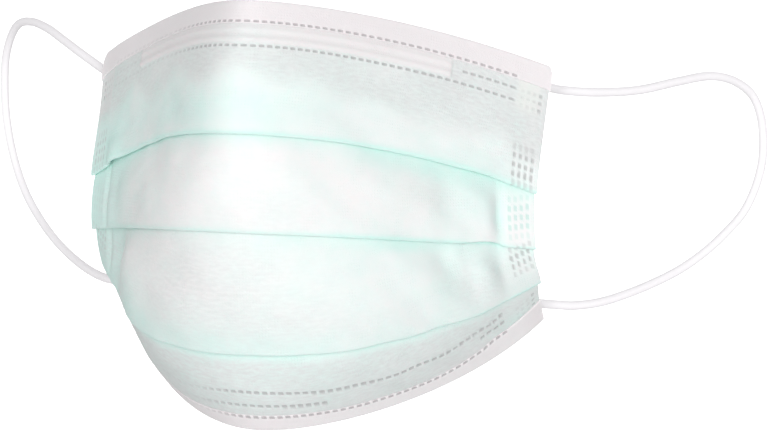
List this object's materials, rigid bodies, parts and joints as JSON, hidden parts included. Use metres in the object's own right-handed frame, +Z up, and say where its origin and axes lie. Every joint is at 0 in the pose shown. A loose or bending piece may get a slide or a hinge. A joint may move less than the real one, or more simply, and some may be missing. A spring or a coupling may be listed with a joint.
{
  "type": "surgical face mask",
  "caption": "Pleated disposable face mask in its worn shape, with folded edge strips, a nose wire and round elastic ear loops.",
  "frame": {"origin": "middle of the top edge, where the top strip is folded over the cloth, where the mask sits on the bridge of the nose", "axes": "+X to the right of the picture, across the mask; +Y back towards the wearer's ears; +Z up; the front of the mask looks along -Y"},
  "size_m": [0.2177, 0.1314, 0.1046],
  "materials": {
    "mint_nonwoven": "matt spunbond nonwoven, very pale mint, with pressed weld marks",
    "white_nonwoven": "matt spunbond nonwoven strip, off-white",
    "coated_wire": "white plastic coating over a flat wire",
    "elastic_cord": "knitted round elastic, white"
  },
  "bodies": {
    "root": {"mask_body": "mint_nonwoven", "top_binding": "white_nonwoven", "bottom_binding": "white_nonwoven", "nose_wire": "coated_wire", "ear_loop_right": "elastic_cord", "ear_loop_left": "elastic_cord"}
  },
  "joints": []
}
